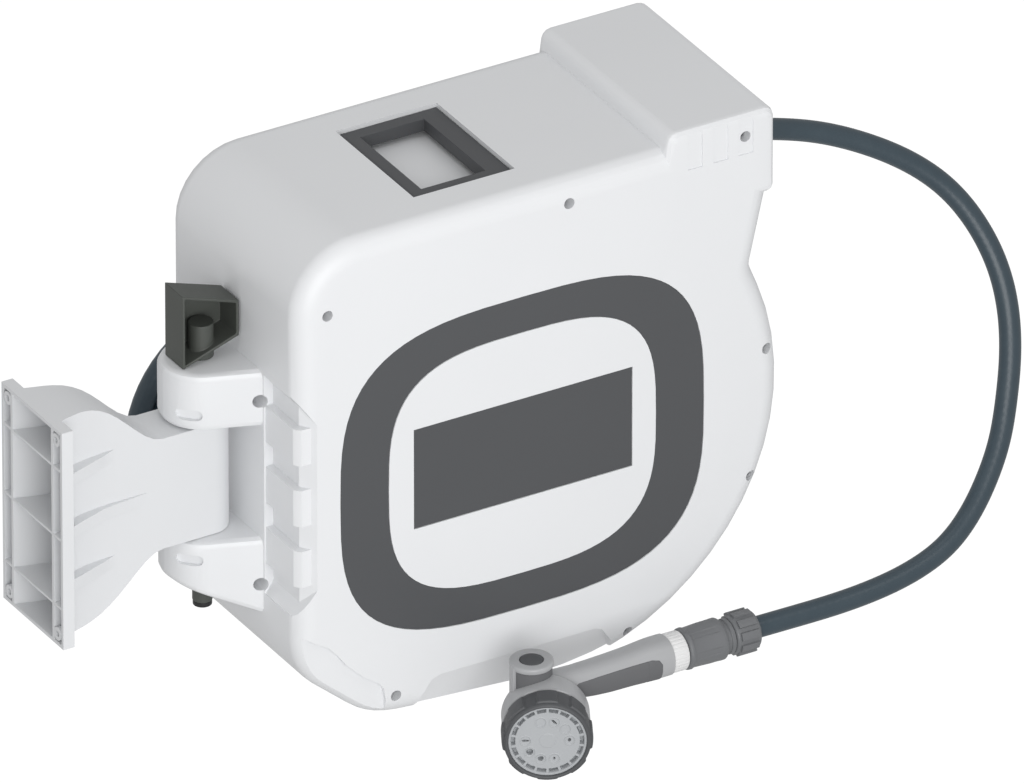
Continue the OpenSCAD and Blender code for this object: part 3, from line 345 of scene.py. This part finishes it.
def moulded(node, radius, finish, angle=28.0, segments=2):
    """A CAD node's shape as a moulding: its loose triangles merged, flat faces joined, edges sharper
    than the angle given a small radius, and normals weighted by area so that flat faces stay flat. The
    node's stored normals are taken off first, because they hide its sharp edges."""
    mesh = bpy.data.meshes.new(node + "_moulding")
    shape = bmesh.new()
    shape.from_mesh(frame["nodes"][node].data)
    bmesh.ops.remove_doubles(shape, verts=shape.verts, dist=2e-6)
    if radius:
        bmesh.ops.dissolve_edges(shape, edges=flat_inner_edges(shape), use_verts=False)
    shape.to_mesh(mesh)
    shape.free()
    mesh.attributes.remove(mesh.attributes["custom_normal"])
    mesh.polygons.foreach_set("use_smooth", [True] * len(mesh.polygons))
    mesh.set_sharp_from_angle(angle=math.radians(angle))
    piece = bpy.data.objects.new(node + "_moulding", mesh)
    bpy.context.scene.collection.objects.link(piece)
    if radius:
        edge = piece.modifiers.new("edge_radius", "BEVEL")
        edge.width, edge.segments, edge.limit_method = radius, segments, "ANGLE"
        edge.angle_limit = math.radians(angle)
        edge.miter_outer = "MITER_ARC"
    shade = piece.modifiers.new("flat_faces", "WEIGHTED_NORMAL")
    shade.keep_sharp = not radius
    shade.weight = 80
    piece.data.materials.append(finish)
    body = next(b for b, names in frame["record"]["behaviour"]["bodies"].items() if node in names)
    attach(piece, body)
    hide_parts(node)
    return piece


def moulded_plastic(name, tone, shadow_tone, roughness, grain=0.00002, grain_scale=1400.0):
    """Injection-moulded plastic: slow tone and gloss variation from the melt and handling, and a fine
    spark-eroded grain."""
    made, nodes, links, shader = material(name, tone, roughness)
    place = nodes.new("ShaderNodeTexCoord").outputs["Object"]
    varied(nodes, links, shader, tone, shadow_tone, 9.0, roughness, 0.05, place)
    grains = nodes.new("ShaderNodeTexNoise")
    grains.inputs["Scale"].default_value = grain_scale
    grains.inputs["Detail"].default_value = 2.0
    links.new(place, grains.inputs["Vector"])
    bumped(nodes, links, shader, grains.outputs["Fac"], grain)
    return made


bracket_plastic = moulded_plastic("bracket_plastic", (0.74, 0.75, 0.765), (0.70, 0.71, 0.725), 0.46)
moulded("wall_bracket", 0.0008, bracket_plastic)


# Casing. Two mouldings in near-white plastic meet in a seam all round the middle. Grained like the
# bracket, a shade lighter and a little glossier.
casing_plastic = moulded_plastic("casing_plastic", (0.80, 0.81, 0.825), (0.77, 0.78, 0.795), 0.40)
for node in ("front_shell", "rear_shell"):
    moulded(node, 0.0008, casing_plastic)


# Casing screws. Zinc-plated steel, sunk in the bores round the front.
def bare_metal(name, tone, dull_tone, scale, roughness, spread):
    """Metal without paint, with small duller patches."""
    made, nodes, links, shader = material(name, tone, roughness)
    shader.inputs["Metallic"].default_value = 1.0
    varied(nodes, links, shader, tone, dull_tone, scale, roughness, spread,
           nodes.new("ShaderNodeTexCoord").outputs["Object"])
    return made


steel = bare_metal("zinc_steel", (0.36, 0.36, 0.37), (0.24, 0.24, 0.25), 300.0, 0.36, 0.08)
for node in ("casing_screws", "lug_screws"):
    moulded(node, 0.0003, steel)


# Front trim. A dark squared ring and a dark plain panel, inlaid in the front shell.
trim_plastic = moulded_plastic("trim_plastic", (0.078, 0.081, 0.086), (0.070, 0.073, 0.078), 0.5,
                               0.00003, 1600.0)
for node in ("cover_ring", "cover_panel"):
    moulded(node, 0.0004, trim_plastic)


# Swivel pin. A thick pin with a wedge-shaped pull on top, dark green-grey, and a black lower end.
pin_plastic = moulded_plastic("pin_plastic", (0.072, 0.078, 0.070), (0.062, 0.068, 0.060), 0.5)
moulded("pivot_pin", 0.0009, pin_plastic)
black_plastic = moulded_plastic("black_plastic", (0.016, 0.016, 0.017), (0.012, 0.012, 0.013), 0.45)
moulded("pin_end_cap", 0.0005, black_plastic)


# Carrying handle. A dark ring that lies in the pocket of the casing's top and flips up on two stubs.
moulded("carry_handle", 0.0018, trim_plastic, segments=3)


# Outlet. A dark frame with four pale rollers that guide the hose in and out.
inner_plastic = moulded_plastic("inner_plastic", (0.62, 0.62, 0.60), (0.58, 0.58, 0.56), 0.42)
moulded("outlet_frame", 0.0008, trim_plastic)
for side in ("top", "bottom", "front", "back"):
    moulded("guide_roller_" + side, 0.0005, inner_plastic)


# Inside of the casing: drum, flanges, bushes, spring, ratchet and the hose on the drum. They don't
# show, so the CAD nodes stay and take the finishes of their slots.
brass = bare_metal("turned_brass", (0.66, 0.49, 0.23), (0.55, 0.4, 0.18), 200.0, 0.3, 0.06)
wound_skin = moulded_plastic("wound_hose_skin", (0.045, 0.07, 0.088), (0.035, 0.056, 0.07), 0.4)
inner_finish = {
    "axle_tube": brass, "drum_core": inner_plastic, "drum_front_flange": inner_plastic,
    "drum_rear_flange": inner_plastic, "drum_bushes": black_plastic, "hose_pack": wound_skin,
    "hose_feed": wound_skin, "power_spring": steel, "ratchet_wheel": trim_plastic,
    "ratchet_pawl": black_plastic}
for node, finish in inner_finish.items():
    for place in frame["nodes"][node].material_slots:
        place.material = finish


# Hose fittings. Nuts, quick coupling and tap connector are turned shapes in dark grey plastic, with
# raised grip pads round them; the elbow is a plain moulding.
def turned_frame(axis):
    """Two directions across an axis, so that the first, the second and the axis are right-handed."""
    axis = np.array(axis, dtype=float) / np.linalg.norm(axis)
    across = np.cross([0.0, 0.0, 1.0] if abs(axis[2]) < 0.9 else [1.0, 0.0, 0.0], axis)
    across /= np.linalg.norm(across)
    return axis, across, np.cross(axis, across)


def step_up(value, low, high):
    """0 below low, 1 above high, and smooth between."""
    t = np.clip((value - low) / (high - low), 0.0, 1.0)
    return t * t * (3 - 2 * t)


def welded(piece):
    """The points that fall together at a pole made one."""
    shape = bmesh.new()
    shape.from_mesh(piece.data)
    bmesh.ops.remove_doubles(shape, verts=shape.verts, dist=1e-7)
    shape.to_mesh(piece.data)
    shape.free()
    return piece


def turning(name, origin, axis, profile, sides=240, pads=0, pad_height=0.0, pad_share=0.6, phase=0.0):
    """A profile of (height along the axis, radius, pad weight) turned round the axis. Where the weight
    is over 0, the radius swells by pad_height on equally spaced pads with soft flanks. A profile that
    starts and ends on the axis closes the shape."""
    axis, first, second = turned_frame(axis)
    rows = np.array(profile, dtype=float)
    turn = np.linspace(0.0, 2 * np.pi, sides, endpoint=False)
    swell = 0.0 * turn
    if pads:
        share = np.abs(((turn / (2 * np.pi) * pads + phase) % 1.0) - 0.5) * 2
        swell = 1.0 - step_up(share, pad_share - 0.06, pad_share + 0.06)
    radius = rows[:, 1, None] + pad_height * rows[:, 2, None] * swell[None, :]
    round_it = np.cos(turn)[:, None] * first + np.sin(turn)[:, None] * second
    points = np.array(origin) + rows[:, 0, None, None] * axis + radius[:, :, None] * round_it[None]
    piece = welded(surface(name, points, grid_faces(len(rows), sides, True)))
    piece.data.set_sharp_from_angle(angle=math.radians(32))
    return piece


def dressed(piece, finish, body, slot, *nodes):
    """The piece gets its finish, rides on its body and stands for its CAD nodes."""
    piece.data.materials.append(finish)
    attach(piece, body)
    if nodes:
        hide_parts(*nodes)
    return piece


fitting_plastic = moulded_plastic("fitting_plastic", (0.170, 0.175, 0.183), (0.150, 0.155, 0.163), 0.42)
MM = 0.001


def rounded_profile(corners, radius=0.4):
    """A profile from corners of (height, radius, pad weight or nothing) in millimetres, cut by short
    chamfers of about the radius. The result is in metres."""
    points = [(high * MM, wide * MM, *(weight or [0])) for high, wide, *weight in corners]
    rows = [points[0]]
    for before, corner, after in zip(points, points[1:], points[2:]):
        before, corner, after = (np.array(p, dtype=float) for p in (before, corner, after))
        for end in (before, after):
            way = end[:2] - corner[:2]
            reach = min(radius * MM, 0.45 * np.linalg.norm(way))
            rows.append((*(corner[:2] + reach * way / max(np.linalg.norm(way), 1e-9)), corner[2]))
    return rows + [points[-1]]


def grip_nut(name, node, end, toward):
    """A nut 21.9 mm long with ten square pads, from the hose end in the direction toward."""
    start = end[0] + (0.1 * MM if toward > 0 else -22 * MM)
    rows = [(0, 0), (0, 12), (0, 14.6), (1.4, 15.8), (3, 15.8), (3.2, 15.9, 1), (18.8, 15.9, 1),
            (19, 15.8), (20.5, 15.8), (21.9, 14.6), (21.9, 9), (21.9, 0)]
    nut = turning(name, (start, end[1], end[2]), (1, 0, 0), rounded_profile(rows),
                  pads=10, pad_height=1.9 * MM, pad_share=0.62)
    return dressed(nut, fitting_plastic, "casing", "dark_plastic", node)


GUN_Y, GUN_Z = -0.150, -0.188
hose_nut = grip_nut("hose_nut_visual", "hose_nut", (0.556, GUN_Y, GUN_Z), -1)
lead_end = lead_path[-1]
lead_nut = grip_nut("lead_nut_visual", "lead_nut", lead_end, 1)

coupling_rows = [(20, 0), (20, 10.2), (0, 10.2), (0, 15.6), (1.2, 16.8), (4, 17), (4.6, 16.2),
                 (20, 16.2, 1), (27, 16.2, 1), (30, 17), (33.5, 17), (34.5, 15.5), (35.2, 13),
                 (38.5, 13), (39, 14.4), (42.3, 14.4), (42.3, 0)]
coupling = turning("hose_coupling_visual", (0.4913, GUN_Y, GUN_Z), (1, 0, 0), rounded_profile(coupling_rows),
                   pads=6, pad_height=0.7 * MM, pad_share=0.7)
dressed(coupling, fitting_plastic, "casing", "dark_plastic", "hose_coupling")

tap_rows = [(0, 0), (0, 11.2), (0.8, 12), (12.6, 12), (14, 15), (15.4, 16), (16, 16.2, 1),
            (31, 16.2, 1), (31.8, 16), (34, 15.4), (34, 12.1), (20, 12.1), (20, 0)]
tap = turning("tap_connector_visual", lead_end + np.array([22.2 * MM, 0, 0]), (1, 0, 0),
              rounded_profile(tap_rows), pads=12, pad_height=1.8 * MM, pad_share=0.55)
dressed(tap, fitting_plastic, "casing", "dark_plastic", "tap_connector")
moulded("inlet_elbow", 0.0006, fitting_plastic)
tie = moulded("coil_tie", 0.0003, black_plastic)


# Spray gun's handle. Two light grey half shells, welded, swell from the valve to the hose end. The soft
# grip is moulded over its sides and underside and stands half a millimetre proud.
HANDLE_STATIONS = np.array([  # x, half width, half height, lift
    [365, 11, 10, 4], [372, 11.1, 10.6, 3.5], [380, 11.6, 11, 2.6], [396, 13, 12.5, 0],
    [410, 13.7, 13.5, -0.8], [424, 14.1, 14.2, -1], [445, 14.6, 15, -0.5], [462, 15.6, 16, 0],
    [470, 16, 16.1, 0], [477, 16, 16, 0]]) * MM
GRIP_OUTLINE = np.array([[389, -40], [384.5, -4], [386, 1], [392, 5.5], [410, 6.4], [457, 8],
                         [463.5, 6.5], [466.5, 2], [467, -40]]) * MM
SQUARING = 0.85
HANDLE_ROWS, HANDLE_SIDES = 90, 96
GRIP_ROWS, GRIP_SIDES = 200, 160
GRIP_SUNK, GRIP_PROUD, GROOVE_X, GROOVE_DEEP = 1.4, 0.5, 0.4545, 0.35


def handle_grid(rows, columns):
    """Squared oval sections along X, as points and as the directions outwards: half width, half height
    and lift follow a smooth curve through the stations."""
    line = smooth_route(HANDLE_STATIONS[:, [0, 1, 2]], rows)
    lift = np.interp(line[:, 0], HANDLE_STATIONS[:, 0], HANDLE_STATIONS[:, 3])
    turn = np.linspace(0.0, 2 * np.pi, columns, endpoint=False)
    across, up = np.cos(turn), np.sin(turn)
    x = line[:, 0, None] + 0 * turn
    y = GUN_Y + line[:, 1, None] * np.sign(across) * np.abs(across) ** SQUARING
    z = GUN_Z + lift[:, None] + line[:, 2, None] * np.sign(up) * np.abs(up) ** SQUARING
    out = np.stack([0 * x, np.broadcast_to(across, x.shape), np.broadcast_to(up, x.shape)], -1)
    return np.stack([x, y, z], -1), out


def inside_by(points, outline):
    """Signed distance of flat points from a closed outline, over 0 inside, as arrays."""
    start, end = outline, np.roll(outline, -1, axis=0)
    edge = end - start
    to = points[:, None, :] - start[None]
    t = np.clip((to * edge).sum(-1) / (edge**2).sum(-1), 0, 1)
    far = np.linalg.norm(to - t[..., None] * edge, axis=-1).min(1)
    rises = (start[:, 1] > points[:, None, 1]) != (end[:, 1] > points[:, None, 1])
    with np.errstate(divide="ignore", invalid="ignore"):
        cross = start[:, 0] + (points[:, None, 1] - start[:, 1]) / edge[:, 1] * edge[:, 0]
    hits = (rises & (points[:, None, 0] < cross)).sum(1) % 2 == 1
    return np.where(hits, far, -far)


gun_plastic = moulded_plastic("gun_plastic", (0.43, 0.435, 0.445), (0.395, 0.40, 0.41), 0.35)
grip_rubber = moulded_plastic("grip_rubber", (0.137, 0.139, 0.145), (0.122, 0.124, 0.13), 0.6,
                              0.00004, 1200.0)
grid, out = handle_grid(HANDLE_ROWS, HANDLE_SIDES)
handle_shell = surface("gun_handle", grid, capped_tube(HANDLE_ROWS, HANDLE_SIDES))
handle_shell.data.set_sharp_from_angle(angle=math.radians(40))
dressed(handle_shell, gun_plastic, "casing", "gun_plastic", "gun_body")

grid, out = handle_grid(GRIP_ROWS, GRIP_SIDES)
side_view = (grid[..., [0, 2]] - np.array([0.0, GUN_Z])).reshape(-1, 2)
depth = inside_by(side_view, GRIP_OUTLINE).reshape(grid.shape[:2])
groove = GROOVE_DEEP * np.exp(-(((grid[..., 0] - GROOVE_X) / (0.5 * MM)) ** 2)) * (depth > 0)
rise = (GRIP_SUNK + GRIP_PROUD) * step_up(depth, -0.2 * MM, 0.9 * MM)
grid = grid + ((rise - GRIP_SUNK - groove) * MM)[..., None] * out
grip = surface("gun_soft_grip", grid, capped_tube(GRIP_ROWS, GRIP_SIDES))
dressed(grip, grip_rubber, "casing", "grip_rubber", "gun_grip")


# Spray gun's valve. An upright light grey column with a soft dark sleeve between its caps and a keel down
# its front; the thumb button stands in the top cap. The spigot in the coupling is part of the column.
VALVE = (0.357, GUN_Y)
TOP = -0.157
column_rows = [(-70, 0), (-70, 15.5), (-69, 16.5), (-65, 16.5), (-64.9, 13.4), (-5.1, 13.4), (-5, 16.6),
               (-4, 17.5), (-1.4, 17.5), (-0.4, 17.1), (0, 16.2), (0, 9.7), (-12.5, 9.7), (-12.5, 0)]
column = turning("valve_column", (*VALVE, TOP), (0, 0, 1), rounded_profile(column_rows, 0.3), 96)
dressed(column, gun_plastic, "casing", "gun_plastic")
moulded("valve_sleeve", 0.0, grip_rubber, angle=35.0)
keel_x = VALVE[0] - 0.0175
keel_plan = np.array([[-0.6, -3], [-0.1, -3.5], [5, -3.5], [5, 3.5], [-0.1, 3.5], [-0.6, 3]]) * MM
keel_plan += [keel_x, GUN_Y]
keel_z = TOP + np.array([-68.8, -68.2, -2.5, -1.8]) * MM
keel_in = np.array([0.85, 1, 1, 0.85])[:, None, None]
middle = keel_plan.mean(0)
keel_flat = middle + keel_in * (keel_plan - middle)
keel_grid = np.concatenate([keel_flat, np.broadcast_to(keel_z[:, None, None], (4, 6, 1))], -1)
keel = surface("valve_keel", keel_grid, capped_tube(4, 6), False)
dressed(keel, gun_plastic, "casing", "gun_plastic")
spigot = turning("hose_spigot", (0.457, GUN_Y, GUN_Z), (1, 0, 0),
                 rounded_profile([(0, 0), (0, 10), (52.3, 10), (52.3, 0)]), 64)
dressed(spigot, gun_plastic, "casing", "gun_plastic")
button_rows = [(-7, 0), (-7, 9.5), (-0.7, 9.5), (0, 9), (0.25, 7.5), (0.3, 5), (0.3, 0)]
button = turning("thumb_button_visual", (*VALVE, TOP), (0, 0, 1), rounded_profile(button_rows, 0.2), 64)
dressed(button, trim_plastic, "button", "dark_plastic", "thumb_button")


# Flow ring. A white ring between handle and coupling, turned by a quarter to set the flow.
white_plastic = moulded_plastic("white_plastic", (0.78, 0.78, 0.78), (0.75, 0.75, 0.75), 0.35)
ring_rows = [(0.3, 10.1), (0.3, 15.4), (1.2, 16, 1), (12.6, 16, 1), (13.7, 15.4), (13.7, 10.1), (0.3, 10.1)]
flow = turning("flow_ring_visual", (0.477, GUN_Y, GUN_Z), (1, 0, 0), rounded_profile(ring_rows),
               pads=30, pad_height=-0.35 * MM, pad_share=0.25)
dressed(flow, white_plastic, "flow_regulator", "white_plastic", "flow_ring")


# Spray head. A light grey bell carries the dial: a dark ring with eight grip pads, which turns a pale
# face with eight spray patterns round a bare centre and a rim of slots.
HEAD = np.array([0.369, GUN_Y, -0.203])
HEAD_TURN = math.radians(242)
head_axis = np.array([math.cos(HEAD_TURN), math.sin(HEAD_TURN), 0.0])
bell_rows = [(0, 0), (0, 13.5), (2.4, 14), (2.8, 20), (3.8, 26), (5.5, 30.5), (8, 33.2), (11, 34.4),
             (31.2, 34.4), (31.8, 34), (31.8, 8.2), (42, 8), (42, 0)]
bell = turning("spray_bell", HEAD, head_axis, rounded_profile(bell_rows, 0.3), 160)
bell.data.set_sharp_from_angle(angle=math.radians(45))
dressed(bell, gun_plastic, "casing", "gun_plastic")

dial_rows = [(32.3, 8.1), (32.3, 33), (33, 33.7), (35, 34), (36, 34, 1), (49, 34, 1), (51.5, 34, 0.9),
             (52.5, 34), (54, 33.6), (55, 32.6), (55.3, 31.8), (55, 30.9), (54.2, 30.4),
             (36, 30.4), (36, 8.1), (32.3, 8.1)]
dial = turning("dial_ring_visual", HEAD, head_axis, rounded_profile(dial_rows, 0.25), 320,
               pads=8, pad_height=1.6 * MM, phase=0.5)
dressed(dial, trim_plastic, "dial", "dark_plastic", "dial_ring")

FACE_RADIUS, FACE_RINGS, FACE_SIDES = 30.3 * MM, 150, 360
FACE_HEIGHT, FACE_BACK = 52.2 * MM, 45 * MM
# Each pattern: its place on the circle, half width of its opening, slant of its slot
NOZZLES = [(0, 1.3, 0.0), (36, 0.0, 0.0), (72, 2.6, -45.0), (108, 0.0, 0.0), (180, 2.8, 0.0),
           (216, 2.6, 0.0), (252, 2.1, 0.0), (288, 1.1, 90.0)]
SLOTS, SLOT_HALF = (72, 180, 288), 0.8 * MM
NOZZLE_CIRCLE, NOZZLE_RADIUS, SPOKES = 17 * MM, 4.3 * MM, 18


def face_height(u, v):
    """Height of the spray face over its plane, u and v across it in metres: a raised rim with slots just
    inside, a low swell in the middle, and round patterns, each a lip round a shallow well."""
    r, turn = np.hypot(u, v), np.arctan2(v, u)
    high = 0.0 * r
    high += 1.0 * MM * step_up(r, 28.2 * MM, 28.8 * MM)
    between = np.abs(((np.degrees(turn) + 90) / (360 / SPOKES) + 0.5) % 1.0 - 0.5) > 0.13
    high -= 5.0 * MM * between * (r > 25.2 * MM) * (r < 28.2 * MM)
    for at, reach, slant in NOZZLES:
        du = u - NOZZLE_CIRCLE * math.cos(math.radians(at))
        dv = v - NOZZLE_CIRCLE * math.sin(math.radians(at))
        d = np.hypot(du, dv)
        high += 0.3 * MM * np.exp(-(((d - NOZZLE_RADIUS) / (0.35 * MM)) ** 2))
        high -= 0.5 * MM * (1 - step_up(d, NOZZLE_RADIUS - 0.9 * MM, NOZZLE_RADIUS - 0.4 * MM))
        along = du * math.cos(math.radians(slant)) + dv * math.sin(math.radians(slant))
        across = dv * math.cos(math.radians(slant)) - du * math.sin(math.radians(slant))
        narrow = SLOT_HALF if at in SLOTS else reach * MM
        high -= 5.0 * MM * (np.hypot(along / (reach * MM + 1e-9), across / (narrow + 1e-9)) < 1)
    high += 0.3 * MM * (1 - step_up(r, 6 * MM, 6.6 * MM))
    return high


rings = np.linspace(0.0, FACE_RADIUS, FACE_RINGS)
turn = np.linspace(0.0, 2 * np.pi, FACE_SIDES, endpoint=False)
u, v = rings[:, None] * np.cos(turn), rings[:, None] * np.sin(turn)
axis, first, second = turned_frame(head_axis)
flat = HEAD + u[..., None] * first + v[..., None] * second
front = flat + (FACE_HEIGHT + face_height(u, v))[..., None] * axis
back = flat[[-1, 0]] + FACE_BACK * axis
disc = np.concatenate([front, back])[::-1]
face = welded(surface("spray_face_visual", disc, grid_faces(len(disc), FACE_SIDES, True)))
face.data.set_sharp_from_angle(angle=math.radians(35))
face_plastic = moulded_plastic("face_plastic", (0.46, 0.475, 0.49), (0.40, 0.415, 0.43), 0.45, 0.00012, 700.0)
dressed(face, face_plastic, "dial", "face_plastic", "spray_face")
